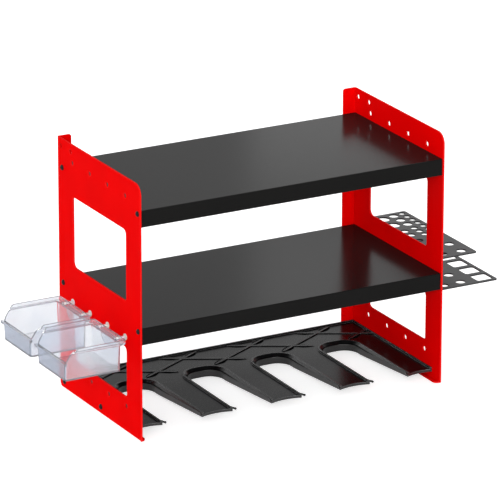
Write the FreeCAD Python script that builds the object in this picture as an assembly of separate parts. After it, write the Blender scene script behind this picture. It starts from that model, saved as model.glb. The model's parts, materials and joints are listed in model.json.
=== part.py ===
import FreeCAD, Part
import math
import os

from FreeCAD import Vector

# Wall-mounted power tool organizer, in millimetres.
# X runs to the right as seen from the front, Y runs into the wall, Z is up.
# Everything is drawn with Z measured from the foot of the side panels and Y from the wall.
# Each solid is then lowered so that the origin is the centre of the four wall-screw holes.

# How far a cutting tool runs past the face it cuts
PAST = 1.0
FAR_PAST = 5.0

# Overall size
HEIGHT = 350.0
WIDTH = 451.5
DEPTH = 235.5
HALF_WIDTH = WIDTH / 2

# Side panels, folded from steel sheet
PANEL_T = 2.0
PANEL_TOP_R = 15.0
PANEL_FOOT_R = 2.0
BEND_OUTSIDE_R = 2.4
BEND_INSIDE_R = 0.6
BACK_FLANGE = 20.0
BACK_FLANGE_TOP_R = 3.5
FOOT_FLANGE = 8.5
FOOT_FLANGE_FRONT = -233.5
FOOT_FLANGE_FRONT_R = 6.0
FLANGE_RELIEF = 4.0
FLANGE_CORNER_R = 1.0
INNER_X = HALF_WIDTH - PANEL_T

# Holes for hanging accessories on the panels
HOLE_R = 3.5
HOLE_PITCH = 50.0
HOLE_ROW_MIDDLE_Y = -118.0
HOLE_ROWS_Z = (36.0, 132.0, 324.5)
TOP_HOLES = ((-10.0, 339.0), (-38.7, 339.0))
ACCESSORY_ROW_Z = 132.0

# Windows in the panels, each with its bottom and top height
WINDOW_BACK_Y = -44.5
WINDOW_FRONT_Y = -195.5
WINDOWS = ((49.0, 118.0), (181.5, 278.7))
WINDOW_BOTTOM_BACK_R = 8.0
WINDOW_TOP_BACK_R = 3.0
WINDOW_TOP_FRONT_R = 7.0
WINDOW_BOTTOM_FRONT_R = 4.5

# Shelves, upside-down trays of thinner sheet
SHELF_T = 1.2
SHELF_TOPS = {"shelf_top": 315.0, "shelf_middle": 155.0}
SHELF_FRONT_Y = -233.0
SHELF_BACK_Y = -PANEL_T
SHELF_LIP = 22.5
SHELF_END_FLANGE = 14.0
SHELF_HEM = 6.0
SHELF_BEND_R = 1.6
CORNER_RELIEF = 2.0
SHELF_REAR_CORNER_R = 1.0
SAME = 0.01

# Wall-screw holes, through the rear flange of each shelf and the back flange of each panel
WALL_HOLE_R = 3.0
WALL_HOLE_X = HALF_WIDTH - 10.0
WALL_HOLE_BELOW_TOP = 13.5
WALL_HOLES_Z = [top - WALL_HOLE_BELOW_TOP for top in SHELF_TOPS.values()]
ORIGIN_Z = sum(WALL_HOLES_Z) / len(WALL_HOLES_Z)

# Small screws that hold the shelves and the comb to the panels
SCREW_HOLE_R = 2.2
SCREW_SHANK_R = 1.8
SCREW_THREAD_R = 1.85
SCREW_HEAD_R = 3.8
SCREW_HEAD_H = 2.2
SCREW_SOCKET_AF = 2.5
SHELF_SCREW_BELOW_TOP = 4.5
SHELF_SCREWS_Y = {"back": -14.6, "front": -229.0}
SHELF_SCREW_LENGTH = 7.5
COLLAR_R = 3.1
COLLAR_H = 2.0
COMB_SCREW_Z = 10.5
COMB_SCREWS_Y = {"back": -14.6, "front": -121.0}
COMB_SCREW_LENGTH = 12.0

# Shape of a button head, as shares of its radius and height
HEAD_EDGE_H = 0.2
HEAD_SHOULDER_R = 0.82
HEAD_SHOULDER_H = 0.7
HEAD_FLAT_R = 0.42
SOCKET_DEPTH = 0.6
SCREW_TIP_BEVEL = 0.5

# Comb, a hollow plastic moulding that lies on the foot flanges
COMB_BOTTOM = 2.0
COMB_TOP = 16.0
COMB_FLOOR = 13.4
COMB_CAVITY_TOP = 9.4
COMB_WALL = 2.5
COMB_RIM = 2.0
COMB_BACK_Y = -2.6
COMB_FRONT_Y = -217.0
FINGER_PITCH = 103.8
FINGER_HALF = 22.0
FINGER_NUMBERS = (-2, -1, 0, 1, 2)
SLOT_ROOT_Y = -65.0
SLOT_ROOT_R = 24.0
SKIRT_OUT = 3.8
SKIRT_Z = 11.2
SKIRT_TAPER_Y = -105.0
FINGER_END_HOLLOW = 5.0
FINGER_END_CORNER = 0.8
HORN_R = 1.4
HORN_BALL_R = 1.7
HORN_START = (FINGER_HALF - 1.3, -208.0)
HORN_END = (FINGER_HALF + 3.3, -219.6)
HORN_Z = 14.3
UNDERSIDE_START_Y = -95.0
UNDERSIDE_RISE = 8.0
BOSS_LENGTH = 13.0
BOSS_HALF = 5.0

# Crossed ribs on the comb's back part, each in a shallow channel with leaf-shaped ends
RIB_FINGER_END = (25.7, -63.0)
RIB_BACK_END = (-81.0, -6.0)
RIB_W = 2.8
RIB_TOP = 14.6
CHANNEL_W = 7.2
CHANNEL_Z = 11.0
LEAF_LENGTH = 30.0
LEAF_W = 12.0
LEAF_Z = 10.4
RIB_SHORTER = 1.5
COMB_EDGE_R = 0.8

# Clear bins on the left panel; distances out from the panel are called reach
BIN_NAMES = {"bin_rear": 1, "bin_front": -1}
BIN_BOTTOM = 92.0
BIN_TOP = 136.0
BIN_STEP_Z = 129.5
BIN_LIP_TOP = 117.0
BIN_LIP_H = 3.0
BIN_WALL = 1.8
BIN_REAR = 15.0
BIN_FRONT = 96.0
BIN_RIM_REAR = 9.5
BIN_LIP_REACH = 98.0
BIN_BOTTOM_W = 80.0
BIN_STEP_W = 85.0
BIN_RIM_W = 92.0
BIN_LIP_W = 88.0
BIN_CORNER_R = 4.0
BIN_DRAFT = 1.0
BIN_SLOPE_START = 78.0
BIN_SLOPE_BULGE = 2.0
BIN_LIP_CORNER_R = 0.9
BIN_TAB_INTO_RIM = 1.0
BIN_TAB_W = 40.0
BIN_TAB_BOTTOM = 114.0
BIN_TAB_R = 12.0
PEG_BOSS_R = 3.4

# Nylon pegs that plug a bin into two panel holes
PEG_STEM_R = 1.7
PEG_SOCKET_R = 1.8
PEG_SOCKET_DEEPER = 0.1
PEG_COLLAR_R = 4.3
PEG_COLLAR_T = 1.0
PEG_GAP = 0.3
PEG_IN = 8.0
PEG_BARB_R = 3.3
PEG_NECK_R = 2.8
PEG_TIP_R = 2.4
PEG_SLIT = 1.2
PEG_BARB_START = 2.5
PEG_BARB_END = 3.5
PEG_NECK_START = 4.6
PEG_STEM_END = 15.2
PEG_SIDES = {"back": HOLE_PITCH / 2, "front": -HOLE_PITCH / 2}

# Two-tier rack of dark sheet on the right panel
RACK_T = 2.0
RACK_BACK_Y = -24.5
RACK_FRONT_Y = -215.5
RACK_UPPER_Z = 169.5
RACK_LOWER_Z = 125.5
RACK_UPPER_REACH = 65.0
RACK_LOWER_REACH = 98.0
RACK_CORNER_R = 3.0
RACK_BEND_R = 2.0
RACK_BEND_INSIDE_R = 0.5
RACK_SCREW_R = 2.95
RACK_SCREW_HOLE_R = 3.3
RACK_SCREW_HEAD_R = 5.2
RACK_SCREW_HEAD_H = 3.3
RACK_SCREW_SOCKET_AF = 4.0
RACK_SCREW_LENGTH = 10.0
NUT_AF = 10.0
NUT_H = 5.0
NUT_BORE_R = 3.0
NUT_FACE_R = 4.75
NUT_CHAMFER = 0.5

# Rows of round holes in the rack plates: reach, first Y, pitch, number, radius
UPPER_ROWS = (
    (56.0, -32.2, 14.2, 7, 4.8),
    (41.0, -36.0, 18.9, 3, 6.9),
    (40.3, -91.9, 13.9, 3, 5.2),
    (21.0, -41.6, 27.4, 2, 9.5),
    (22.0, -98.0, 17.0, 2, 6.0),
    (48.3, -139.7, 31.0, 3, 6.9),
    (20.0, -139.7, 31.0, 3, 6.0),
)
LOWER_ROWS = (
    (48.0, -47.0, 31.0, 6, 7.0),
    (21.5, -49.0, 31.0, 6, 6.0),
)
SQUARE_ROW = (82.0, -45.2, 30.8, 6)
SQUARE_SIDE = 24.2
SQUARE_R = 3.5


def yz_point(x):
    """Give a function that places (y, z) on the plane at x."""
    return lambda a, b: Vector(x, a, b)


def xy_point(z):
    """Give a function that places (x, y) on the plane at z."""
    return lambda a, b: Vector(a, b, z)


def xz_point(y):
    """Give a function that places (x, z) on the plane at y."""
    return lambda a, b: Vector(a, y, b)


def rounded_wire(corners, place):
    """Make a closed outline from (a, b, corner radius) points."""
    flat = [Vector(a, b, 0) for a, b, _ in corners]
    stretches = []
    for i, (_, _, radius) in enumerate(corners):
        corner = flat[i]
        before = (flat[i - 1] - corner).normalize()
        after = (flat[(i + 1) % len(flat)] - corner).normalize()
        if radius == 0:
            stretches.append((corner,))
            continue
        half_angle = before.getAngle(after) / 2
        setback = radius / math.tan(half_angle)
        inward = (before + after).normalize()
        middle = corner + inward * (radius / math.sin(half_angle) - radius)
        stretches.append((corner + before * setback, middle, corner + after * setback))
    edges = []
    for i, points in enumerate(stretches):
        solid_points = [place(p.x, p.y) for p in points]
        if len(points) == 3:
            edges.append(Part.Arc(*solid_points).toShape())
        following = stretches[(i + 1) % len(stretches)][0]
        start = solid_points[-1]
        end = place(following.x, following.y)
        if start.distanceToPoint(end) > 0.001:
            edges.append(Part.LineSegment(start, end).toShape())
    return Part.Wire(edges)


def plate(corners, place, thickness):
    """Extrude a rounded outline along the vector thickness."""
    return Part.Face(rounded_wire(corners, place)).extrude(thickness)


def box(low, high):
    size = Vector(*high) - Vector(*low)
    return Part.makeBox(size.x, size.y, size.z, Vector(*low))


def cylinder(start, direction, radius, length):
    return Part.makeCylinder(radius, length, Vector(*start), Vector(*direction))


def spun(profile):
    """Turn a closed (radius, height) outline about Z; a point of three is the middle of an arc."""
    edges = []
    i = 0
    while i < len(profile) - 1:
        start = Vector(profile[i][0], 0, profile[i][1])
        if len(profile[i + 1]) == 3:
            middle = Vector(profile[i + 1][0], 0, profile[i + 1][1])
            end = Vector(profile[i + 2][0], 0, profile[i + 2][1])
            edges.append(Part.Arc(start, middle, end).toShape())
            i += 2
        else:
            end = Vector(profile[i + 1][0], 0, profile[i + 1][1])
            edges.append(Part.LineSegment(start, end).toShape())
            i += 1
    return Part.Face(Part.Wire(edges)).revolve(Vector(0, 0, 0), Vector(0, 0, 1), 360)


def hexagon(across_flats, start_z, height):
    radius = across_flats / math.sqrt(3)
    corners = [
        (radius * math.cos(math.radians(60 * i)), radius * math.sin(math.radians(60 * i)), 0)
        for i in range(6)
    ]
    return plate(corners, xy_point(start_z), Vector(0, 0, height))


def rounded_edges(solid, radius, chosen):
    """Round the straight or curved edges for which chosen(edge box) is true."""
    edges = [edge for edge in solid.Edges if chosen(edge.BoundBox)]
    return solid.makeFillet(radius, edges)


def mirrored(shape):
    return shape.mirror(Vector(0, 0, 0), Vector(1, 0, 0))


def hole_row_y():
    """Give the Y of the four holes of a row, from the back to the front."""
    return [HOLE_ROW_MIDDLE_Y + HOLE_PITCH * step for step in (1.5, 0.5, -0.5, -1.5)]


def panel_web():
    """Make the upright sheet of the right panel with its two flanges, bent inward."""
    web = plate(
        ((0, 0, 0), (0, HEIGHT, 0), (-DEPTH, HEIGHT, PANEL_TOP_R), (-DEPTH, 0, PANEL_FOOT_R)),
        yz_point(INNER_X), Vector(PANEL_T, 0, 0),
    )
    flange_inner = HALF_WIDTH - BACK_FLANGE
    back = plate(
        (
            (HALF_WIDTH, FLANGE_RELIEF, 0),
            (HALF_WIDTH, HEIGHT, 0),
            (flange_inner, HEIGHT, BACK_FLANGE_TOP_R),
            (flange_inner, FLANGE_RELIEF, FLANGE_CORNER_R),
        ),
        xz_point(-PANEL_T), Vector(0, PANEL_T, 0),
    )
    foot = plate(
        (
            (HALF_WIDTH, -FLANGE_RELIEF, 0),
            (HALF_WIDTH, FOOT_FLANGE_FRONT, 0),
            (HALF_WIDTH - FOOT_FLANGE, FOOT_FLANGE_FRONT, FOOT_FLANGE_FRONT_R),
            (HALF_WIDTH - FOOT_FLANGE, -FLANGE_RELIEF, FLANGE_CORNER_R),
        ),
        xy_point(0), Vector(0, 0, PANEL_T),
    )
    relief = box(
        (INNER_X - PAST, -FLANGE_RELIEF, -PAST),
        (HALF_WIDTH + PAST, PAST, FLANGE_RELIEF),
    )
    solid = web.cut(relief).fuse([back, foot])
    up = Vector(0, 0, HEIGHT - FLANGE_RELIEF)
    forward = Vector(0, FOOT_FLANGE_FRONT + FLANGE_RELIEF, 0)
    left = Vector(-1, 0, 0)
    front = Vector(0, -1, 0)
    above = Vector(0, 0, 1)
    back_start = Vector(HALF_WIDTH, 0, FLANGE_RELIEF)
    foot_start = Vector(HALF_WIDTH, -FLANGE_RELIEF, 0)
    back_inside = back_start + left * PANEL_T + front * PANEL_T
    foot_inside = foot_start + left * PANEL_T + above * PANEL_T
    outside = [
        corner_sliver(back_start, left, front, BEND_OUTSIDE_R, up),
        corner_sliver(foot_start, left, above, BEND_OUTSIDE_R, forward),
    ]
    inside = [
        corner_sliver(back_inside, left, front, BEND_INSIDE_R, up),
        corner_sliver(foot_inside, left, above, BEND_INSIDE_R, forward),
    ]
    return solid.fuse(inside).cut(outside).removeSplitter()


def corner_sliver(corner, along_a, along_b, radius, run):
    """Make the sliver between a square corner and the quarter round that replaces it."""
    start = corner + along_a * radius
    end = corner + along_b * radius
    middle = corner + (along_a + along_b) * (radius * (1 - math.sqrt(0.5)))
    edges = [
        Part.LineSegment(corner, start).toShape(),
        Part.Arc(start, middle, end).toShape(),
        Part.LineSegment(end, corner).toShape(),
    ]
    return Part.Face(Part.Wire(edges)).extrude(run)


def panel_window(bottom, top):
    return plate(
        (
            (WINDOW_BACK_Y, bottom, WINDOW_BOTTOM_BACK_R),
            (WINDOW_BACK_Y, top, WINDOW_TOP_BACK_R),
            (WINDOW_FRONT_Y, top, WINDOW_TOP_FRONT_R),
            (WINDOW_FRONT_Y, bottom, WINDOW_BOTTOM_FRONT_R),
        ),
        yz_point(INNER_X - PAST), Vector(PANEL_T + 2 * PAST, 0, 0),
    )


def side_hole(y, z, radius):
    return cylinder((INNER_X - PAST, y, z), (1, 0, 0), radius, PANEL_T + 2 * PAST)


def wall_hole(x, z, front_y):
    """Make a wall-screw hole from in front of front_y to behind the wall plane."""
    return cylinder((x, front_y - PAST, z), (0, 1, 0), WALL_HOLE_R, -front_y + 2 * PAST)


def side_panel():
    """Make the right side panel: windows, hole rows, screw holes and wall-screw holes."""
    cuts = [panel_window(bottom, top) for bottom, top in WINDOWS]
    cuts += [side_hole(y, z, HOLE_R) for z in HOLE_ROWS_Z for y in hole_row_y()]
    cuts += [side_hole(y, z, HOLE_R) for y, z in TOP_HOLES]
    for top in SHELF_TOPS.values():
        for y in SHELF_SCREWS_Y.values():
            cuts.append(side_hole(y, top - SHELF_SCREW_BELOW_TOP, SCREW_HOLE_R))
    cuts += [side_hole(y, COMB_SCREW_Z, SCREW_HOLE_R) for y in COMB_SCREWS_Y.values()]
    cuts += [wall_hole(WALL_HOLE_X, z, -PANEL_T) for z in WALL_HOLES_Z]
    return panel_web().cut(cuts)


def shelf(top):
    """Make a shelf: top sheet, front lip with a hem, rear flange and two end flanges."""
    lip_bottom = top - SHELF_LIP
    outer = box((-INNER_X, SHELF_FRONT_Y, lip_bottom), (INNER_X, SHELF_BACK_Y, top))
    outer = rounded_edges(
        outer, SHELF_BEND_R,
        lambda b: abs(b.ZMin - top) < SAME and b.XLength > WIDTH / 2,
    )
    inside_front = SHELF_FRONT_Y + SHELF_T
    inside_back = SHELF_BACK_Y - SHELF_T
    inside_end = INNER_X - SHELF_T
    hollow = box(
        (-inside_end, inside_front, lip_bottom + SHELF_T),
        (inside_end, inside_back, top - SHELF_T),
    )
    mouth = box(
        (-inside_end, inside_front + SHELF_HEM, lip_bottom - PAST),
        (inside_end, inside_back, lip_bottom + SHELF_T),
    )
    cuts = [hollow, mouth]
    collars = []
    bores = []
    for side in (-1, 1):
        low_x, high_x = sorted((side * (inside_end - PAST), side * (INNER_X + PAST)))
        cuts.append(box(
            (low_x, SHELF_FRONT_Y + CORNER_RELIEF, lip_bottom - PAST),
            (high_x, SHELF_BACK_Y + PAST, top - SHELF_END_FLANGE),
        ))
        cuts.append(box(
            (low_x, inside_front, lip_bottom - PAST),
            (high_x, SHELF_FRONT_Y + CORNER_RELIEF, top - SHELF_BEND_R),
        ))
        cuts.append(corner_sliver(
            Vector(side * INNER_X, SHELF_BACK_Y, lip_bottom), Vector(-side, 0, 0), Vector(0, -1, 0),
            SHELF_REAR_CORNER_R, Vector(0, 0, SHELF_LIP),
        ))
        for y in SHELF_SCREWS_Y.values():
            z = top - SHELF_SCREW_BELOW_TOP
            collars.append(cylinder((side * inside_end, y, z), (-side, 0, 0), COLLAR_R, COLLAR_H))
            outside = (side * (INNER_X + PAST), y, z)
            depth = COLLAR_H + SHELF_T + 2 * PAST
            bores.append(cylinder(outside, (-side, 0, 0), SCREW_THREAD_R, depth))
        bores.append(wall_hole(side * WALL_HOLE_X, top - WALL_HOLE_BELOW_TOP, inside_back))
    return outer.cut(cuts).fuse(collars).cut(bores).removeSplitter()


def slot_outline(middle_x, grow, z):
    """Give the U-shaped outline of a comb slot, grown by grow on every side, at height z."""
    half = FINGER_PITCH / 2 - FINGER_HALF + grow
    root = SLOT_ROOT_Y + grow
    past_front = -DEPTH - FAR_PAST
    radius = SLOT_ROOT_R + grow
    return rounded_wire(
        (
            (middle_x - half, past_front, 0),
            (middle_x - half, root, radius),
            (middle_x + half, root, radius),
            (middle_x + half, past_front, 0),
        ),
        xy_point(z),
    )


def slot_middles():
    return [(number + 0.5) * FINGER_PITCH for number in FINGER_NUMBERS[:-1]]


def slot_block(middle_x, grow, bottom, top):
    """Make an upright block of a slot's outline."""
    return Part.Face(slot_outline(middle_x, grow, bottom)).extrude(Vector(0, 0, top - bottom))


def slot_cut(middle_x):
    """Make what is removed for one slot: straight below, opening outward above."""
    lower = slot_block(middle_x, -SKIRT_OUT, COMB_BOTTOM - PAST, SKIRT_Z)
    upper = Part.makeLoft(
        [slot_outline(middle_x, -SKIRT_OUT, SKIRT_Z), slot_outline(middle_x, 0, COMB_TOP)],
        True, True,
    )
    above = slot_block(middle_x, 0, COMB_TOP, COMB_TOP + FAR_PAST)
    return lower.fuse([upper, above])


def slot_sides():
    """Give every side of a finger that borders a slot, as the finger's number and -1 or 1."""
    pairs = [(number, side) for number in FINGER_NUMBERS for side in (-1, 1)]
    return [(number, side) for number, side in pairs if abs(number + side) <= FINGER_NUMBERS[-1]]


def skirt_taper(finger_x, side, inward):
    """Make what narrows a finger's skirt towards the finger's end, moved inward from its face."""
    wide = FINGER_HALF + SKIRT_OUT - inward
    narrow = FINGER_HALF - inward
    past_front = -DEPTH - FAR_PAST
    outline = (
        (wide, SKIRT_TAPER_Y), (narrow, past_front), (wide + PAST, past_front),
        (wide + PAST, SKIRT_TAPER_Y), (wide, SKIRT_TAPER_Y),
    )
    points = [Vector(finger_x + side * out, y, COMB_BOTTOM - PAST) for out, y in outline]
    return Part.Face(Part.makePolygon(points)).extrude(Vector(0, 0, COMB_TOP - COMB_BOTTOM + 2 * PAST))


def finger_end_cut(finger_x):
    """Make what is removed in front of a finger, whose end is a shallow hollow arc."""
    half = FINGER_PITCH / 2
    left = Vector(finger_x - half, COMB_FRONT_Y, 0)
    right = Vector(finger_x + half, COMB_FRONT_Y, 0)
    rim_half = FINGER_HALF + FINGER_END_CORNER
    arc_left = Vector(finger_x - rim_half, COMB_FRONT_Y, 0)
    arc_right = Vector(finger_x + rim_half, COMB_FRONT_Y, 0)
    middle = Vector(finger_x, COMB_FRONT_Y + FINGER_END_HOLLOW, 0)
    past_front = Vector(0, -3 * FAR_PAST, 0)
    edges = [
        Part.LineSegment(left, arc_left).toShape(),
        Part.Arc(arc_left, middle, arc_right).toShape(),
        Part.LineSegment(arc_right, right).toShape(),
        Part.LineSegment(right, right + past_front).toShape(),
        Part.LineSegment(right + past_front, left + past_front).toShape(),
        Part.LineSegment(left + past_front, left).toShape(),
    ]
    return Part.Face(Part.Wire(edges)).extrude(Vector(0, 0, COMB_TOP + FAR_PAST))


def horn(finger_x, side):
    """Make the small rounded horn at the front end of a finger's rim."""
    start = Vector(finger_x + side * HORN_START[0], HORN_START[1], HORN_Z)
    end = Vector(finger_x + side * HORN_END[0], HORN_END[1], HORN_Z)
    run = end - start
    rod = Part.makeCylinder(HORN_R, run.Length, start, run)
    return rod.fuse(Part.makeSphere(HORN_BALL_R, end))


def leaf(tip, inward):
    """Make the leaf-shaped end of a channel; inward is the unit vector along the channel."""
    across = Vector(-inward.y, inward.x, 0) * (LEAF_W / 2)
    far = tip + inward * LEAF_LENGTH
    middle = tip + inward * (LEAF_LENGTH / 2)
    edges = [
        Part.Arc(tip, middle + across, far).toShape(),
        Part.Arc(far, middle - across, tip).toShape(),
    ]
    solid = Part.Face(Part.Wire(edges)).extrude(Vector(0, 0, COMB_TOP - LEAF_Z))
    solid.translate(Vector(0, 0, LEAF_Z - CHANNEL_Z))
    return solid


def bar(start, end, width, height):
    """Make an upright bar of the given width between two points, with pointed ends."""
    along = (end - start).normalize()
    across = Vector(-along.y, along.x, 0) * (width / 2)
    taper = along * (2 * width)
    points = [
        start, start + taper - across, end - taper - across,
        end, end - taper + across, start + taper + across, start,
    ]
    return Part.Face(Part.makePolygon(points)).extrude(Vector(0, 0, height))


def channel_ends():
    """Give the two ends of every crossed channel, two channels for each finger."""
    pairs = []
    for number in FINGER_NUMBERS:
        for side in (-1, 1):
            finger_x = number * FINGER_PITCH
            near = Vector(finger_x + side * RIB_FINGER_END[0], RIB_FINGER_END[1], CHANNEL_Z)
            far = Vector(finger_x + side * RIB_BACK_END[0], RIB_BACK_END[1], CHANNEL_Z)
            pairs.append((near, far))
    return pairs


def rib_channels():
    """Make what is removed from the comb's floor around the crossed ribs."""
    pieces = []
    for near, far in channel_ends():
        along = (far - near).normalize()
        overlap = along * (LEAF_LENGTH / 3)
        pieces.append(bar(near + overlap, far - overlap, CHANNEL_W, COMB_TOP - CHANNEL_Z))
        pieces.append(leaf(near, along))
        pieces.append(leaf(far, -along))
    return pieces


def crossed_ribs():
    """Make the ribs that stand in the channels, a little shorter than the channels."""
    ribs = []
    for near, far in channel_ends():
        shorter = (far - near).normalize() * RIB_SHORTER
        ribs.append(bar(near + shorter, far - shorter, RIB_W, RIB_TOP - CHANNEL_Z))
    return ribs


def comb_screw_places():
    return [(side, y) for side in (-1, 1) for y in COMB_SCREWS_Y.values()]


def tool_comb():
    """Make the comb that holds tools by their grips: five fingers on a crossed-rib back."""
    end = INNER_X
    body = box((-end, COMB_FRONT_Y, COMB_BOTTOM), (end, COMB_BACK_Y, COMB_TOP))
    pan = box(
        (-end + COMB_RIM, COMB_FRONT_Y - PAST, COMB_FLOOR),
        (end - COMB_RIM, COMB_BACK_Y - COMB_RIM, COMB_TOP + PAST),
    )
    cavity = box(
        (-end + COMB_WALL, COMB_FRONT_Y + COMB_WALL + FINGER_END_HOLLOW, COMB_BOTTOM - PAST),
        (end - COMB_WALL, COMB_BACK_Y - COMB_WALL, COMB_CAVITY_TOP),
    )
    pan_keep = []
    cavity_keep = []
    slots = []
    for x in slot_middles():
        pan_keep.append(slot_block(x, COMB_RIM, COMB_FLOOR - PAST, COMB_TOP + 2 * PAST))
        cavity_keep.append(slot_block(x, COMB_WALL - SKIRT_OUT, COMB_BOTTOM - 2 * PAST, SKIRT_Z + PAST))
        slots.append(slot_cut(x))
    screw_holes = []
    for side, y in comb_screw_places():
        low_x, high_x = sorted((side * end, side * (end - BOSS_LENGTH)))
        cavity_keep.append(box((low_x, y - BOSS_HALF, COMB_BOTTOM), (high_x, y + BOSS_HALF, COMB_FLOOR)))
        start = (side * (end + PAST), y, COMB_SCREW_Z)
        screw_holes.append(cylinder(start, (-side, 0, 0), SCREW_THREAD_R, COMB_SCREW_LENGTH))
    tapers = []
    for number, side in slot_sides():
        finger_x = number * FINGER_PITCH
        cavity_keep.append(skirt_taper(finger_x, side, COMB_WALL))
        tapers.append(skirt_taper(finger_x, side, 0))
    pan = pan.cut(pan_keep)
    cavity = cavity.cut(cavity_keep)
    behind_slots = box(
        (-end + COMB_RIM, SLOT_ROOT_Y + COMB_RIM, LEAF_Z),
        (end - COMB_RIM, COMB_BACK_Y - COMB_RIM, COMB_FLOOR),
    )
    channels = rib_channels()
    channel_area = channels[0].fuse(channels[1:]).common(pan.fuse(behind_slots))
    ribs = crossed_ribs()
    rib_area = ribs[0].fuse(ribs[1:]).common(box(
        (-end, SLOT_ROOT_Y, CHANNEL_Z - PAST), (end, COMB_BACK_Y, COMB_TOP),
    ))
    underside = plate(
        (
            (UNDERSIDE_START_Y, COMB_BOTTOM, 0),
            (COMB_FRONT_Y, COMB_BOTTOM + UNDERSIDE_RISE, 0),
            (COMB_FRONT_Y - FAR_PAST, COMB_BOTTOM + UNDERSIDE_RISE, 0),
            (COMB_FRONT_Y - FAR_PAST, COMB_BOTTOM - FAR_PAST, 0),
            (UNDERSIDE_START_Y, COMB_BOTTOM - FAR_PAST, 0),
        ),
        yz_point(-end - PAST), Vector(2 * (end + PAST), 0, 0),
    )
    end_edges = [
        corner_sliver(
            Vector(side * end, COMB_FRONT_Y, COMB_BOTTOM), Vector(-side, 0, 0), Vector(0, 0, 1),
            COMB_EDGE_R, Vector(0, COMB_BACK_Y - COMB_FRONT_Y, 0),
        )
        for side in (-1, 1)
    ]
    finger_ends = [finger_end_cut(number * FINGER_PITCH) for number in FINGER_NUMBERS]
    cuts = [pan, cavity, channel_area, underside] + slots + tapers + finger_ends + screw_holes + end_edges
    horns = [horn(number * FINGER_PITCH, side) for number, side in slot_sides()]
    return body.cut(cuts).fuse([rib_area] + horns).removeSplitter()


def at_reach(reach):
    """Give the X of a point that stands out from the left panel by reach."""
    return -HALF_WIDTH - reach


def bin_outline(rear, front, width, middle_y, radius, z):
    return rounded_wire(
        (
            (at_reach(rear), middle_y - width / 2, radius),
            (at_reach(rear), middle_y + width / 2, radius),
            (at_reach(front), middle_y + width / 2, radius),
            (at_reach(front), middle_y - width / 2, radius),
        ),
        xy_point(z),
    )


def bin_shell(middle_y, inset):
    """Make the full body of a bin up to its rim, drawn in by inset on every side."""
    radius = BIN_CORNER_R - inset
    low = BIN_BOTTOM + inset
    body = Part.makeLoft([
        bin_outline(BIN_REAR + inset, BIN_FRONT - BIN_DRAFT - inset, BIN_BOTTOM_W - 2 * inset,
                    middle_y, radius, low),
        bin_outline(BIN_REAR + inset, BIN_FRONT - inset, BIN_STEP_W - 2 * inset,
                    middle_y, radius, BIN_STEP_Z + inset),
    ], True, True)
    rim_bottom = BIN_STEP_Z + inset
    rim = Part.Face(bin_outline(
        BIN_RIM_REAR + inset, BIN_FRONT - inset, BIN_RIM_W - 2 * inset, middle_y, radius, rim_bottom,
    )).extrude(Vector(0, 0, BIN_TOP + inset - rim_bottom))
    return body.fuse(rim)


def bin_front_cut(middle_y):
    """Make what is removed above the low front: the sides slope down to the lip in a curve."""
    slope_top = Vector(at_reach(BIN_SLOPE_START), 0, BIN_TOP)
    slope_bottom = Vector(at_reach(BIN_FRONT - BIN_WALL), 0, BIN_LIP_TOP)
    chord = slope_bottom - slope_top
    bulge = Vector(chord.z, 0, -chord.x).normalize() * BIN_SLOPE_BULGE
    middle = (slope_top + slope_bottom) * 0.5 + bulge
    past = Vector(at_reach(BIN_LIP_REACH + FAR_PAST), 0, BIN_LIP_TOP)
    high = Vector(at_reach(BIN_LIP_REACH + FAR_PAST), 0, BIN_TOP + FAR_PAST)
    above = Vector(at_reach(BIN_SLOPE_START), 0, BIN_TOP + FAR_PAST)
    start = Vector(0, middle_y - BIN_RIM_W, 0)
    points = [start + p for p in (slope_top, middle, slope_bottom, past, high, above)]
    edges = [Part.Arc(*points[:3]).toShape()]
    loop = points[2:] + points[:1]
    edges += [Part.LineSegment(a, b).toShape() for a, b in zip(loop, loop[1:])]
    return Part.Face(Part.Wire(edges)).extrude(Vector(0, 2 * BIN_RIM_W, 0))


def storage_bin(middle_y):
    """Make one clear bin: thin walls, stacking step, front lip, rear tab and two peg bosses."""
    shell = bin_shell(middle_y, 0).cut(bin_shell(middle_y, BIN_WALL))
    shell = shell.cut(bin_front_cut(middle_y))
    lip = Part.Face(bin_outline(
        BIN_FRONT - BIN_WALL, BIN_LIP_REACH, BIN_LIP_W, middle_y, BIN_LIP_CORNER_R,
        BIN_LIP_TOP - BIN_LIP_H,
    )).extrude(Vector(0, 0, BIN_LIP_H))
    tab = plate(
        (
            (middle_y - BIN_TAB_W / 2, BIN_STEP_Z + BIN_TAB_INTO_RIM, 0),
            (middle_y + BIN_TAB_W / 2, BIN_STEP_Z + BIN_TAB_INTO_RIM, 0),
            (middle_y + BIN_TAB_W / 2, BIN_TAB_BOTTOM, BIN_TAB_R),
            (middle_y - BIN_TAB_W / 2, BIN_TAB_BOTTOM, BIN_TAB_R),
        ),
        yz_point(at_reach(BIN_RIM_REAR + BIN_WALL)), Vector(BIN_WALL, 0, 0),
    )
    bosses = []
    sockets = []
    for side in PEG_SIDES.values():
        y = middle_y + side
        root = (at_reach(BIN_REAR + BIN_WALL / 2), y, ACCESSORY_ROW_Z)
        bosses.append(cylinder(root, (1, 0, 0), PEG_BOSS_R, BIN_REAR + BIN_WALL / 2 - BIN_RIM_REAR))
        bottom = (at_reach(PEG_STEM_END + PEG_SOCKET_DEEPER), y, ACCESSORY_ROW_Z)
        sockets.append(cylinder(bottom, (1, 0, 0), PEG_SOCKET_R, PEG_STEM_END))
    above = box(
        (at_reach(BIN_LIP_REACH), middle_y - BIN_RIM_W, BIN_TOP),
        (at_reach(0), middle_y + BIN_RIM_W, BIN_TOP + FAR_PAST),
    )
    return shell.fuse([lip, tab] + bosses).cut(sockets + [above]).removeSplitter()


def bin_middle_y(side):
    return HOLE_ROW_MIDDLE_Y + side * HOLE_PITCH


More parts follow.
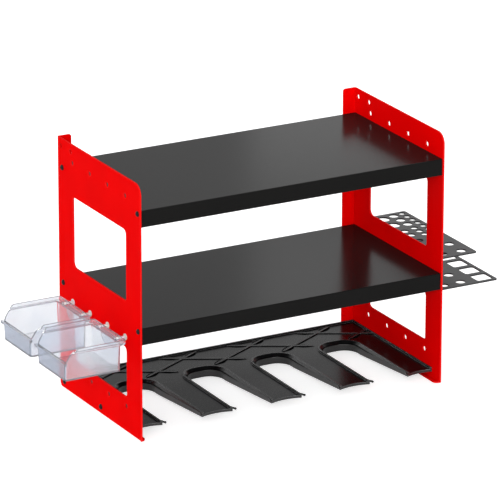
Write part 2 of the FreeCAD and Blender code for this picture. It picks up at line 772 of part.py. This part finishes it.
def bin_peg(y):
    """Make a nylon peg: stem into the bin, stop collar, and a slit end through the panel hole."""
    barb_low = -PEG_IN + PEG_BARB_START
    barb_high = -PEG_IN + PEG_BARB_END
    neck_low = -PEG_IN + PEG_NECK_START
    collar_end = PEG_GAP + PEG_COLLAR_T
    solid = spun((
        (0, -PEG_IN), (PEG_TIP_R, -PEG_IN), (PEG_BARB_R, barb_low), (PEG_BARB_R, barb_high),
        (PEG_NECK_R, neck_low), (PEG_NECK_R, PEG_GAP), (PEG_COLLAR_R, PEG_GAP),
        (PEG_COLLAR_R, collar_end), (PEG_STEM_R, collar_end), (PEG_STEM_R, PEG_STEM_END),
        (0, PEG_STEM_END), (0, -PEG_IN),
    ))
    slit = box(
        (-PEG_COLLAR_R, -PEG_SLIT / 2, -PEG_IN - PAST),
        (PEG_COLLAR_R, PEG_SLIT / 2, -PANEL_T / 2),
    )
    solid = solid.cut(slit)
    solid.rotate(Vector(0, 0, 0), Vector(0, 1, 0), -90)
    solid.translate(Vector(at_reach(0), y, ACCESSORY_ROW_Z))
    return solid


def button_screw(shank_r, length, head_r, head_h, socket_af):
    """Make a button-head screw along Z, with the underside of its head at Z = 0."""
    tip_r = shank_r - SCREW_TIP_BEVEL
    shoulder = (HEAD_SHOULDER_R * head_r, HEAD_SHOULDER_H * head_h, "arc")
    solid = spun((
        (0, -length), (tip_r, -length), (shank_r, -length + SCREW_TIP_BEVEL), (shank_r, 0),
        (head_r, 0), (head_r, HEAD_EDGE_H * head_h), shoulder,
        (HEAD_FLAT_R * head_r, head_h), (0, head_h), (0, -length),
    ))
    socket_depth = SOCKET_DEPTH * head_h
    return solid.cut(hexagon(socket_af, head_h - socket_depth, socket_depth + PAST))


def side_screw(screw, side, seat_x, y, z):
    """Turn a screw so that its head faces outward on the side side, and move it to its hole."""
    screw.rotate(Vector(0, 0, 0), Vector(0, 1, 0), 90 * side)
    screw.translate(Vector(side * seat_x, y, z))
    return screw


def panel_screw(side, y, z, length):
    screw = button_screw(SCREW_SHANK_R, length, SCREW_HEAD_R, SCREW_HEAD_H, SCREW_SOCKET_AF)
    return side_screw(screw, side, HALF_WIDTH, y, z)


def rack_plate(reach, top_z):
    """Make one flat tier of the rack, before its holes."""
    return plate(
        (
            (HALF_WIDTH, RACK_BACK_Y, 0),
            (HALF_WIDTH + reach, RACK_BACK_Y, RACK_CORNER_R),
            (HALF_WIDTH + reach, RACK_FRONT_Y, RACK_CORNER_R),
            (HALF_WIDTH, RACK_FRONT_Y, 0),
        ),
        xy_point(top_z - RACK_T), Vector(0, 0, RACK_T),
    )


def rack_holes(rows, top_z):
    holes = []
    for reach, first_y, pitch, count, radius in rows:
        for i in range(count):
            start = (HALF_WIDTH + reach, first_y - pitch * i, top_z - RACK_T - PAST)
            holes.append(cylinder(start, (0, 0, 1), radius, RACK_T + 2 * PAST))
    return holes


def rack_squares():
    """Make the row of rounded square holes along the outer edge of the lower tier."""
    reach, first_y, pitch, count = SQUARE_ROW
    half = SQUARE_SIDE / 2
    holes = []
    for i in range(count):
        x = HALF_WIDTH + reach
        y = first_y - pitch * i
        holes.append(plate(
            (
                (x - half, y - half, SQUARE_R), (x + half, y - half, SQUARE_R),
                (x + half, y + half, SQUARE_R), (x - half, y + half, SQUARE_R),
            ),
            xy_point(RACK_LOWER_Z - RACK_T - PAST), Vector(0, 0, RACK_T + 2 * PAST),
        ))
    return holes


def tool_rack():
    """Make the rack: one sheet bent into two tiers joined by an upright web on the panel."""
    bottom = RACK_LOWER_Z - RACK_T
    web = box(
        (HALF_WIDTH, RACK_FRONT_Y, bottom),
        (HALF_WIDTH + RACK_T, RACK_BACK_Y, RACK_UPPER_Z),
    )
    solid = web.fuse([
        rack_plate(RACK_UPPER_REACH, RACK_UPPER_Z),
        rack_plate(RACK_LOWER_REACH, RACK_LOWER_Z),
    ]).removeSplitter()

    def bend(x, z):
        """Choose the long straight edge at x and z."""
        return lambda b: (
            b.YLength > DEPTH / 2 and b.XLength < SAME and b.ZLength < SAME
            and abs(b.XMin - x) < SAME and abs(b.ZMin - z) < SAME
        )

    inside_x = HALF_WIDTH + RACK_T
    solid = rounded_edges(solid, RACK_BEND_R, bend(HALF_WIDTH, bottom))
    solid = rounded_edges(solid, RACK_BEND_R, bend(HALF_WIDTH, RACK_UPPER_Z))
    solid = rounded_edges(solid, RACK_BEND_INSIDE_R, bend(inside_x, RACK_LOWER_Z))
    solid = rounded_edges(solid, RACK_BEND_INSIDE_R, bend(inside_x, RACK_UPPER_Z - RACK_T))
    cuts = rack_holes(UPPER_ROWS, RACK_UPPER_Z)
    cuts += rack_holes(LOWER_ROWS, RACK_LOWER_Z)
    cuts += rack_squares()
    for y in hole_row_y():
        start = (HALF_WIDTH - PAST, y, ACCESSORY_ROW_Z)
        cuts.append(cylinder(start, (1, 0, 0), RACK_SCREW_HOLE_R, RACK_T + 2 * PAST))
    return solid.cut(cuts)


def rack_screw(y):
    screw = button_screw(
        RACK_SCREW_R, RACK_SCREW_LENGTH, RACK_SCREW_HEAD_R, RACK_SCREW_HEAD_H, RACK_SCREW_SOCKET_AF,
    )
    return side_screw(screw, 1, HALF_WIDTH + RACK_T, y, ACCESSORY_ROW_Z)


def rack_nut(y):
    """Make a hexagon nut against the inside of the right panel, with its corners turned off."""
    corner_r = NUT_AF / math.sqrt(3)
    turned = spun((
        (NUT_BORE_R, 0), (NUT_FACE_R, 0), (corner_r, NUT_CHAMFER), (corner_r, NUT_H - NUT_CHAMFER),
        (NUT_FACE_R, NUT_H), (NUT_BORE_R, NUT_H), (NUT_BORE_R, 0),
    ))
    nut = hexagon(NUT_AF, 0, NUT_H).common(turned)
    nut.rotate(Vector(0, 0, 0), Vector(0, 1, 0), -90)
    nut.translate(Vector(INNER_X, y, ACCESSORY_ROW_Z))
    return nut


def all_parts():
    """Make every piece, by the name of its node."""
    right = side_panel()
    parts = {"side_panel_right": right, "side_panel_left": mirrored(right)}
    for name, top in SHELF_TOPS.items():
        parts[name] = shelf(top)
    parts["tool_comb"] = tool_comb()
    for name, side in BIN_NAMES.items():
        middle_y = bin_middle_y(side)
        parts[name] = storage_bin(middle_y)
        for place, offset in PEG_SIDES.items():
            parts[f"{name}_peg_{place}"] = bin_peg(middle_y + offset)
    parts["tool_rack"] = tool_rack()
    for side_name, side in (("left", -1), ("right", 1)):
        for name, top in SHELF_TOPS.items():
            for place, y in SHELF_SCREWS_Y.items():
                z = top - SHELF_SCREW_BELOW_TOP
                parts[f"{name}_screw_{side_name}_{place}"] = panel_screw(side, y, z, SHELF_SCREW_LENGTH)
        for place, y in COMB_SCREWS_Y.items():
            screw = panel_screw(side, y, COMB_SCREW_Z, COMB_SCREW_LENGTH)
            parts[f"comb_screw_{side_name}_{place}"] = screw
    for number, y in enumerate(hole_row_y(), 1):
        parts[f"rack_screw_{number}"] = rack_screw(y)
        parts[f"rack_nut_{number}"] = rack_nut(y)
    return parts


def main():
    os.makedirs("parts", exist_ok=True)
    for name, shape in all_parts().items():
        solid = shape.Solids[0]
        solid.translate(Vector(0, 0, -ORIGIN_Z))
        bounds = solid.BoundBox
        print(
            f"{name}: {len(shape.Solids)} solid, valid {solid.isValid()}, {solid.Volume:.0f} mm3,"
            f" X {bounds.XMin:.1f} {bounds.XMax:.1f} Y {bounds.YMin:.1f} {bounds.YMax:.1f}"
            f" Z {bounds.ZMin:.1f} {bounds.ZMax:.1f}"
        )
        solid.exportStep(f"parts/{name}.step")


main()
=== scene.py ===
import json
import math

import bpy
from mathutils import Matrix, Vector


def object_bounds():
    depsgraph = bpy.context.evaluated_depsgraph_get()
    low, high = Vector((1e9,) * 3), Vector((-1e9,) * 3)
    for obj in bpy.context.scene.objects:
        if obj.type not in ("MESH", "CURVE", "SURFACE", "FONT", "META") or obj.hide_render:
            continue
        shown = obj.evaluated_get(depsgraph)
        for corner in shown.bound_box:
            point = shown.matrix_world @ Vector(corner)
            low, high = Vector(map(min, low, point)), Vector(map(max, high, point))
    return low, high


# Everything is in metres, in the frame of the loaded model.
# X runs to the right as seen from the front, Y runs into the wall, Z is up.
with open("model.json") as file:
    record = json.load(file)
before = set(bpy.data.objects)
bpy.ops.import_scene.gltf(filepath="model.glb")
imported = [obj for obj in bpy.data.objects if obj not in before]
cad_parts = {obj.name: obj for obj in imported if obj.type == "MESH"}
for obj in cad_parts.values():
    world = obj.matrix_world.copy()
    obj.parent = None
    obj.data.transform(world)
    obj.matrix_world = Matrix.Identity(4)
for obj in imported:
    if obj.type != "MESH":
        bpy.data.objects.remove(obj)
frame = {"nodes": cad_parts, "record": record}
cad_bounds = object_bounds()

MILLIMETRE = 0.001
WHITE = (1.0, 1.0, 1.0, 1.0)

# X of the bins' lips, the model's left end, and Z of its foot
LIP_X = cad_bounds[0][0]
FOOT_Z = cad_bounds[0][2]

# Camera of the photograph; its lens and sensor are in millimetres
CAMERA_PLACE = Vector((-2.8812, -5.3710, 2.0702))
CAMERA_RIGHT = Vector((0.87719, -0.48014, 0.00183))
CAMERA_UP = Vector((0.15742, 0.29120, 0.94362))
CAMERA_LENS = 345.56
CAMERA_SENSOR = 36.0
CAMERA_REACH = 100.0

# Floor and background
FLOOR_HALF = 30.0
FLOOR_BELOW = 0.0005
FLOOR_COLOR = (0.80, 0.80, 0.80, 1.0)
FLOOR_ROUGHNESS = 0.9
FLOOR_LIFT = 0.30
FLOOR_LIFT_IN_VIEW = 0.35
WORLD_AMBIENT = 0.48

# Sun lamps: direction towards the lamp, strength, and width in degrees.
# A wide lamp gives soft shadows, a narrow one crisp ones.
LAMPS = {
    "key_lamp": ((-0.60, -0.74, 0.30), 1.5, 40),
    "front_lamp": ((0.00, -0.98, 0.18), 1.0, 18),
    "left_lamp": ((-0.90, 0.05, 0.42), 0.55, 40),
    "right_lamp": ((0.60, 0.30, 0.74), 0.6, 40),
    "edge_lamp": ((-0.31, 0.84, 0.43), 0.25, 10),
}

# Small lamp behind the object and to its right
GLOW_PLACE = Vector((0.81, 1.10, 0.49))
GLOW_AIM = Vector((0.05, -0.12, 0.0))
GLOW_SIZE = 0.25
GLOW_WATTS = 0.2

# The comb's level faces count as pockets below this height, with a short blend
POCKET_TOP = FOOT_Z + 12.4 * MILLIMETRE
POCKET_BLEND = 0.2 * MILLIMETRE

# The bins' outermost faces count as front wall up to the first X, less and less up to the second
FRONT_WALL_X = LIP_X + 12 * MILLIMETRE
FRONT_WALL_END_X = LIP_X + 20 * MILLIMETRE

# The comb's gloss grows from the first Y, nearer its front, to the second, nearer the wall
DULL_Y = -120 * MILLIMETRE
GLOSSY_Y = -50 * MILLIMETRE

# Rays taken for each rounded edge and for each look into corners
BEVEL_SAMPLES = 6
OPENNESS_SAMPLES = 8

# Cosine between true and rounded surface below which an edge counts in full
EDGE_COSINE = 0.80

# Numbers of the mixing node's colour sockets
MIX_COLOR_A = 6
MIX_COLOR_B = 7
MIX_COLOR_RESULT = 2


# Node helpers

def new_material(name):
    """Give a new material, its node tree and its main shader."""
    material = bpy.data.materials.new(name)
    material.use_nodes = True
    tree = material.node_tree
    return material, tree, tree.nodes["Principled BSDF"]


def object_point(tree):
    return tree.nodes.new("ShaderNodeTexCoord").outputs["Object"]


def noise(tree, place, scale, detail=2.0, roughness=0.5):
    node = tree.nodes.new("ShaderNodeTexNoise")
    node.inputs["Scale"].default_value = scale
    node.inputs["Detail"].default_value = detail
    node.inputs["Roughness"].default_value = roughness
    tree.links.new(place, node.inputs["Vector"])
    return node.outputs["Fac"]


def stretched(tree, place, scale):
    """Scale the texture space along each axis."""
    node = tree.nodes.new("ShaderNodeMapping")
    node.inputs["Scale"].default_value = scale
    tree.links.new(place, node.inputs["Vector"])
    return node.outputs["Vector"]


def ranged(tree, value, low, high, start=0.0, end=1.0):
    """Turn a value running from start to end into one running from low to high, and no further."""
    node = tree.nodes.new("ShaderNodeMapRange")
    node.inputs["From Min"].default_value = start
    node.inputs["From Max"].default_value = end
    node.inputs["To Min"].default_value = low
    node.inputs["To Max"].default_value = high
    tree.links.new(value, node.inputs["Value"])
    return node.outputs["Result"]


def mixed_color(tree, factor, color_a, color_b):
    """Mix two colours, each given as numbers or as the output of a node."""
    node = tree.nodes.new("ShaderNodeMix")
    node.data_type = "RGBA"
    for number, color in ((MIX_COLOR_A, color_a), (MIX_COLOR_B, color_b)):
        if isinstance(color, tuple):
            node.inputs[number].default_value = color
        else:
            tree.links.new(color, node.inputs[number])
    tree.links.new(factor, node.inputs[0])
    return node.outputs[MIX_COLOR_RESULT]


def bump(tree, height, distance, strength, normal=None):
    node = tree.nodes.new("ShaderNodeBump")
    node.inputs["Strength"].default_value = strength
    node.inputs["Distance"].default_value = distance
    tree.links.new(height, node.inputs["Height"])
    if normal is not None:
        tree.links.new(normal, node.inputs["Normal"])
    return node.outputs["Normal"]


def soft_edges(tree, radius):
    """Round the shading over sharp edges."""
    node = tree.nodes.new("ShaderNodeBevel")
    node.samples = BEVEL_SAMPLES
    node.inputs["Radius"].default_value = radius
    return node.outputs["Normal"]


def edge_mask(tree, radius, flat_cosine=0.985):
    """Give 1 on sharp edges and 0 where the surface is flat over the radius."""
    shape = tree.nodes.new("ShaderNodeNewGeometry")
    compare = tree.nodes.new("ShaderNodeVectorMath")
    compare.operation = "DOT_PRODUCT"
    tree.links.new(shape.outputs["Normal"], compare.inputs[0])
    tree.links.new(soft_edges(tree, radius), compare.inputs[1])
    return ranged(tree, compare.outputs["Value"], 1.0, 0.0, EDGE_COSINE, flat_cosine)


def joined(tree, operation, value_a, value_b):
    node = tree.nodes.new("ShaderNodeMath")
    node.operation = operation
    tree.links.new(value_a, node.inputs[0])
    tree.links.new(value_b, node.inputs[1])
    return node.outputs["Value"]


def along(tree, vector, axis):
    """Give the X, Y or Z of a vector."""
    parts = tree.nodes.new("ShaderNodeSeparateXYZ")
    tree.links.new(vector, parts.inputs["Vector"])
    return parts.outputs[axis]


def squareness(tree, axis):
    """Give 1 on faces that look along the axis, either way, and 0 on faces that run beside it."""
    normal = tree.nodes.new("ShaderNodeNewGeometry").outputs["True Normal"]
    node = tree.nodes.new("ShaderNodeMath")
    node.operation = "ABSOLUTE"
    tree.links.new(along(tree, normal, axis), node.inputs[0])
    return node.outputs["Value"]


def openness(tree, reach):
    """Give 1 on open surfaces and less in pockets and corners, looking as far as reach."""
    node = tree.nodes.new("ShaderNodeAmbientOcclusion")
    node.samples = OPENNESS_SAMPLES
    node.inputs["Distance"].default_value = reach
    return ranged(tree, node.outputs["AO"], 0.0, 1.0, 0.35, 0.9)


def pocket_mask(tree, place):
    """Give 1 on level faces lower than the comb's floor: rib channels, their ends and the underside."""
    below = ranged(tree, along(tree, place, "Z"), 1.0, 0.0, POCKET_TOP - POCKET_BLEND, POCKET_TOP)
    level = ranged(tree, squareness(tree, "Z"), 0.0, 1.0, 0.4, 0.6)
    return joined(tree, "MULTIPLY", below, level)


def front_wall_mask(tree, place):
    """Give 1 on the bins' thick front walls, which face away from the left panel."""
    outermost = ranged(tree, along(tree, place, "X"), 1.0, 0.0, FRONT_WALL_X, FRONT_WALL_END_X)
    sideways = ranged(tree, squareness(tree, "X"), 0.0, 1.0, 0.6, 0.9)
    return joined(tree, "MULTIPLY", outermost, sideways)


def shade(color, factor):
    """Darken or lighten a colour."""
    return tuple(channel * factor for channel in color) + (1.0,)


# Materials

def powder_coat(name, color, painted_edge_highlight, roughness, specular, edge_radius, gloss_tint=WHITE):
    """Baked powder paint on sheet steel: fine grain over a slow orange-peel ripple."""
    material, tree, shader = new_material(name)
    place = object_point(tree)
    cloud = noise(tree, place, 14.0, detail=3.0)
    ripple = noise(tree, place, 420.0)
    grain = noise(tree, place, 1900.0, roughness=0.6)
    cloud = ranged(tree, cloud, 0.0, 1.0, 0.3, 0.7)
    tint = mixed_color(tree, cloud, shade(color, 0.95), shade(color, 1.04))
    # Sharp edges are mixed towards a lighter colour: a painted highlight along every edge.
    edges = ranged(tree, edge_mask(tree, edge_radius), 0.0, 0.6)
    tree.links.new(mixed_color(tree, edges, tint, painted_edge_highlight), shader.inputs["Base Color"])
    uneven = ranged(tree, ripple, roughness - 0.03, roughness + 0.04, 0.25, 0.75)
    tree.links.new(uneven, shader.inputs["Roughness"])
    normal = soft_edges(tree, edge_radius)
    normal = bump(tree, ripple, 0.03 * MILLIMETRE, 0.3, normal)
    normal = bump(tree, grain, 0.01 * MILLIMETRE, 0.3, normal)
    tree.links.new(normal, shader.inputs["Normal"])
    shader.inputs["Specular IOR Level"].default_value = specular
    shader.inputs["Specular Tint"].default_value = gloss_tint
    return material


def moulded_black(name):
    """Black moulded plastic with a fine spark-eroded grain and faint flow streaks."""
    dark = (0.002, 0.002, 0.0022, 1.0)
    streak = (0.0045, 0.0045, 0.005, 1.0)
    edge_highlight_grey = (0.16, 0.16, 0.162, 1.0)
    pocket_shade_black = (0.0008, 0.0008, 0.0008, 1.0)
    material, tree, shader = new_material(name)
    place = object_point(tree)
    grain = noise(tree, place, 1400.0, detail=3.0, roughness=0.65)
    streaks = noise(tree, stretched(tree, place, (6.0, 40.0, 40.0)), 3.0, detail=3.0)
    tint = mixed_color(tree, ranged(tree, streaks, 0.0, 1.0, 0.3, 0.7), dark, streak)
    # Sharp edges and rims get a light grey: a painted highlight.
    edges = edge_mask(tree, 1.0 * MILLIMETRE)
    tint = mixed_color(tree, edges, tint, edge_highlight_grey)
    # Level faces below the floor get a near-black colour: painted shade in the rib channels, pocket
    # ends and underside.
    pockets = pocket_mask(tree, place)
    tree.links.new(mixed_color(tree, pockets, tint, pocket_shade_black), shader.inputs["Base Color"])
    tree.links.new(ranged(tree, grain, 0.20, 0.30, 0.3, 0.7), shader.inputs["Roughness"])
    normal = bump(tree, grain, 0.015 * MILLIMETRE, 0.4, soft_edges(tree, 0.9 * MILLIMETRE))
    tree.links.new(normal, shader.inputs["Normal"])
    # The gloss is low on the floor, strong on walls and edges, and weaker in corners and pockets
    floor_gloss = ranged(tree, along(tree, place, "Y"), 0.045, 0.07, DULL_Y, GLOSSY_Y)
    upright = ranged(tree, squareness(tree, "Z"), 1.0, 0.0, 0.2, 0.9)
    gloss = joined(tree, "MAXIMUM", floor_gloss, ranged(tree, upright, 0.0, 0.75))
    gloss = joined(tree, "MAXIMUM", ranged(tree, edges, 0.0, 0.7), gloss)
    gloss = joined(tree, "MULTIPLY", gloss, openness(tree, 7.0 * MILLIMETRE))
    gloss = joined(tree, "MULTIPLY", gloss, ranged(tree, pockets, 1.0, 0.05))
    tree.links.new(gloss, shader.inputs["Specular IOR Level"])
    return material


def clear_plastic(name):
    """Clear moulded polystyrene with faint ripples and handling haze; light passes it in shadow."""
    hazy = (0.84, 0.87, 0.92, 1.0)
    clear = (0.93, 0.95, 0.98, 1.0)
    slant_shade_blue = (0.30, 0.34, 0.42, 1.0)
    front_wall_shade_blue = (0.50, 0.55, 0.64, 1.0)
    edge_shade_blue = (0.02, 0.04, 0.08, 1.0)
    shadow_tint = (0.82, 0.84, 0.86, 1.0)
    material, tree, shader = new_material(name)
    place = object_point(tree)
    ripple = noise(tree, place, 90.0)
    haze = noise(tree, place, 35.0, detail=4.0, roughness=0.6)
    tint = mixed_color(tree, ranged(tree, haze, 0.0, 1.0, 0.35, 0.7), hazy, clear)
    # Faces seen at a slant turn a darker blue-grey: painted shade.
    slanting = tree.nodes.new("ShaderNodeLayerWeight")
    slanting.inputs["Blend"].default_value = 0.35
    tint = mixed_color(tree, ranged(tree, slanting.outputs["Facing"], 0.0, 0.4), tint, slant_shade_blue)
    # The outermost front walls are tinted a darker blue-grey: painted shade on that side of the bins.
    tint = mixed_color(tree, front_wall_mask(tree, place), tint, front_wall_shade_blue)
    # Sharp edges turn a near-black blue and let less light through: painted shade along the edges.
    edges = edge_mask(tree, 1.2 * MILLIMETRE, flat_cosine=0.995)
    tree.links.new(mixed_color(tree, edges, tint, edge_shade_blue), shader.inputs["Base Color"])
    tree.links.new(ranged(tree, haze, 0.03, 0.14, 0.35, 0.75), shader.inputs["Roughness"])
    normal = bump(tree, ripple, 0.06 * MILLIMETRE, 0.35, soft_edges(tree, 0.5 * MILLIMETRE))
    tree.links.new(normal, shader.inputs["Normal"])
    shader.inputs["IOR"].default_value = 1.5
    tree.links.new(ranged(tree, edges, 0.90, 0.25), shader.inputs["Transmission Weight"])
    rays = tree.nodes.new("ShaderNodeLightPath")
    pass_light = tree.nodes.new("ShaderNodeBsdfTransparent")
    pass_light.inputs["Color"].default_value = shadow_tint
    choice = tree.nodes.new("ShaderNodeMixShader")
    tree.links.new(rays.outputs["Is Shadow Ray"], choice.inputs["Fac"])
    tree.links.new(shader.outputs["BSDF"], choice.inputs[1])
    tree.links.new(pass_light.outputs["BSDF"], choice.inputs[2])
    tree.links.new(choice.outputs["Shader"], tree.nodes["Material Output"].inputs["Surface"])
    return material


def nylon(name):
    """Natural nylon: milky, slightly see-through, with a soft uneven surface."""
    milky = (0.78, 0.78, 0.74, 1.0)
    pale = (0.90, 0.90, 0.87, 1.0)
    material, tree, shader = new_material(name)
    place = object_point(tree)
    cloud = noise(tree, place, 260.0, detail=3.0)
    tree.links.new(mixed_color(tree, cloud, milky, pale), shader.inputs["Base Color"])
    tree.links.new(ranged(tree, cloud, 0.34, 0.5), shader.inputs["Roughness"])
    normal = bump(tree, noise(tree, place, 1100.0), 0.02 * MILLIMETRE, 0.4)
    tree.links.new(normal, shader.inputs["Normal"])
    shader.inputs["Subsurface Weight"].default_value = 0.3
    shader.inputs["Subsurface Scale"].default_value = 0.8 * MILLIMETRE
    shader.inputs["Transmission Weight"].default_value = 0.35
    return material


def black_steel(name):
    """Black-oxide steel of the screws and nuts, with a fine uneven surface and rubbed spots."""
    oxide = (0.005, 0.005, 0.006, 1.0)
    worn = (0.022, 0.022, 0.024, 1.0)
    material, tree, shader = new_material(name)
    place = object_point(tree)
    rubbed = noise(tree, place, 700.0, detail=4.0, roughness=0.6)
    fine = noise(tree, place, 2600.0)
    tint = mixed_color(tree, ranged(tree, rubbed, 0.0, 1.0, 0.45, 0.75), oxide, worn)
    tree.links.new(tint, shader.inputs["Base Color"])
    tree.links.new(ranged(tree, rubbed, 0.30, 0.48, 0.3, 0.7), shader.inputs["Roughness"])
    normal = bump(tree, fine, 0.01 * MILLIMETRE, 0.4, soft_edges(tree, 0.25 * MILLIMETRE))
    tree.links.new(normal, shader.inputs["Normal"])
    shader.inputs["Specular IOR Level"].default_value = 0.12
    return material


MATERIALS = {
    "panel_red": powder_coat(
        "panel_red",
        color=(0.80, 0.0003, 0.0006),
        painted_edge_highlight=(1.0, 0.10, 0.09, 1.0),
        roughness=0.36,
        specular=0.004,
        edge_radius=0.7 * MILLIMETRE,
        gloss_tint=(1.0, 0.01, 0.01, 1.0),
    ),
    "shelf_black": powder_coat(
        "shelf_black",
        color=(0.0085, 0.0083, 0.0081),
        painted_edge_highlight=(0.050, 0.050, 0.050, 1.0),
        roughness=0.20,
        specular=0.038,
        edge_radius=0.5 * MILLIMETRE,
    ),
    "rack_grey": powder_coat(
        "rack_grey",
        color=(0.030, 0.031, 0.033),
        painted_edge_highlight=(0.06, 0.06, 0.065, 1.0),
        roughness=0.42,
        specular=0.25,
        edge_radius=0.4 * MILLIMETRE,
    ),
    "comb_black": moulded_black("comb_black"),
    "bin_clear": clear_plastic("bin_clear"),
    "peg_nylon": nylon("peg_nylon"),
    "screw_black": black_steel("screw_black"),
}


def dress_nodes():
    """Give every CAD node the material of its slot."""
    for subpart in frame["record"]["subparts"]:
        node = frame["nodes"][subpart["node"]]
        material = MATERIALS[subpart["material_slot"]]
        if not node.material_slots:
            node.data.materials.append(material)
        for slot in node.material_slots:
            slot.material = material


# Background, floor, lamps and camera

def seen_as_background(tree):
    """Give 1 for the rays that look at the background: straight, in gloss or through glass."""
    rays = tree.nodes.new("ShaderNodeLightPath")
    total = rays.outputs["Is Camera Ray"]
    for name in ("Is Glossy Ray", "Is Transmission Ray"):
        total = joined(tree, "MAXIMUM", total, rays.outputs[name])
    return total


def make_world():
    """Make a background that looks white but lights the object with less than that."""
    world = bpy.data.worlds.new("studio")
    world.use_nodes = True
    bpy.context.scene.world = world
    tree = world.node_tree
    background = tree.nodes["Background"]
    background.inputs["Color"].default_value = WHITE
    strength = ranged(tree, seen_as_background(tree), WORLD_AMBIENT, 1.0)
    tree.links.new(strength, background.inputs["Strength"])


def make_floor():
    """Make a floor that lifts itself towards white where it is seen, but keeps the shadow."""
    low = FOOT_Z - FLOOR_BELOW
    mesh = bpy.data.meshes.new("floor")
    corners = [(x * FLOOR_HALF, y * FLOOR_HALF, low) for x, y in ((-1, -1), (1, -1), (1, 1), (-1, 1))]
    mesh.from_pydata(corners, [], [(0, 1, 2, 3)])
    floor = bpy.data.objects.new("floor", mesh)
    bpy.context.scene.collection.objects.link(floor)
    material, tree, shader = new_material("floor_white")
    shader.inputs["Base Color"].default_value = FLOOR_COLOR
    shader.inputs["Roughness"].default_value = FLOOR_ROUGHNESS
    shader.inputs["Specular IOR Level"].default_value = 0.0
    shader.inputs["Emission Color"].default_value = WHITE
    in_view = tree.nodes.new("ShaderNodeLightPath").outputs["Is Camera Ray"]
    lift = ranged(tree, seen_as_background(tree), 0.0, FLOOR_LIFT)
    lift = joined(tree, "ADD", lift, ranged(tree, in_view, 0.0, FLOOR_LIFT_IN_VIEW))
    tree.links.new(lift, shader.inputs["Emission Strength"])
    mesh.materials.append(material)


def add_lamp(data, towards):
    """Put a lamp into the scene, shining from the given direction, and give its object."""
    lamp = bpy.data.objects.new(data.name, data)
    lamp.rotation_euler = towards.to_track_quat("Z", "Y").to_euler()
    bpy.context.scene.collection.objects.link(lamp)
    return lamp


def make_lamps():
    for name, (towards, strength, width) in LAMPS.items():
        data = bpy.data.lights.new(name, "SUN")
        data.angle = math.radians(width)
        data.energy = strength
        add_lamp(data, Vector(towards))


def make_shelf_glow():
    """Make a small soft lamp whose reflection brightens the shelves' right half."""
    data = bpy.data.lights.new("shelf_glow", "AREA")
    data.size = GLOW_SIZE
    data.energy = GLOW_WATTS
    lamp = add_lamp(data, GLOW_PLACE - GLOW_AIM)
    lamp.location = GLOW_PLACE


def make_camera():
    data = bpy.data.cameras.new("camera")
    data.lens = CAMERA_LENS
    data.sensor_width = CAMERA_SENSOR
    data.clip_end = CAMERA_REACH
    camera = bpy.data.objects.new("camera", data)
    backward = CAMERA_RIGHT.cross(CAMERA_UP)
    turn = Matrix((CAMERA_RIGHT, CAMERA_UP, backward)).transposed().to_4x4()
    camera.matrix_world = Matrix.Translation(CAMERA_PLACE) @ turn
    bpy.context.scene.collection.objects.link(camera)
    bpy.context.scene.camera = camera


dress_nodes()
make_world()
make_floor()
make_lamps()
make_shelf_glow()
make_camera()
bpy.context.scene.view_settings.view_transform = "Standard"
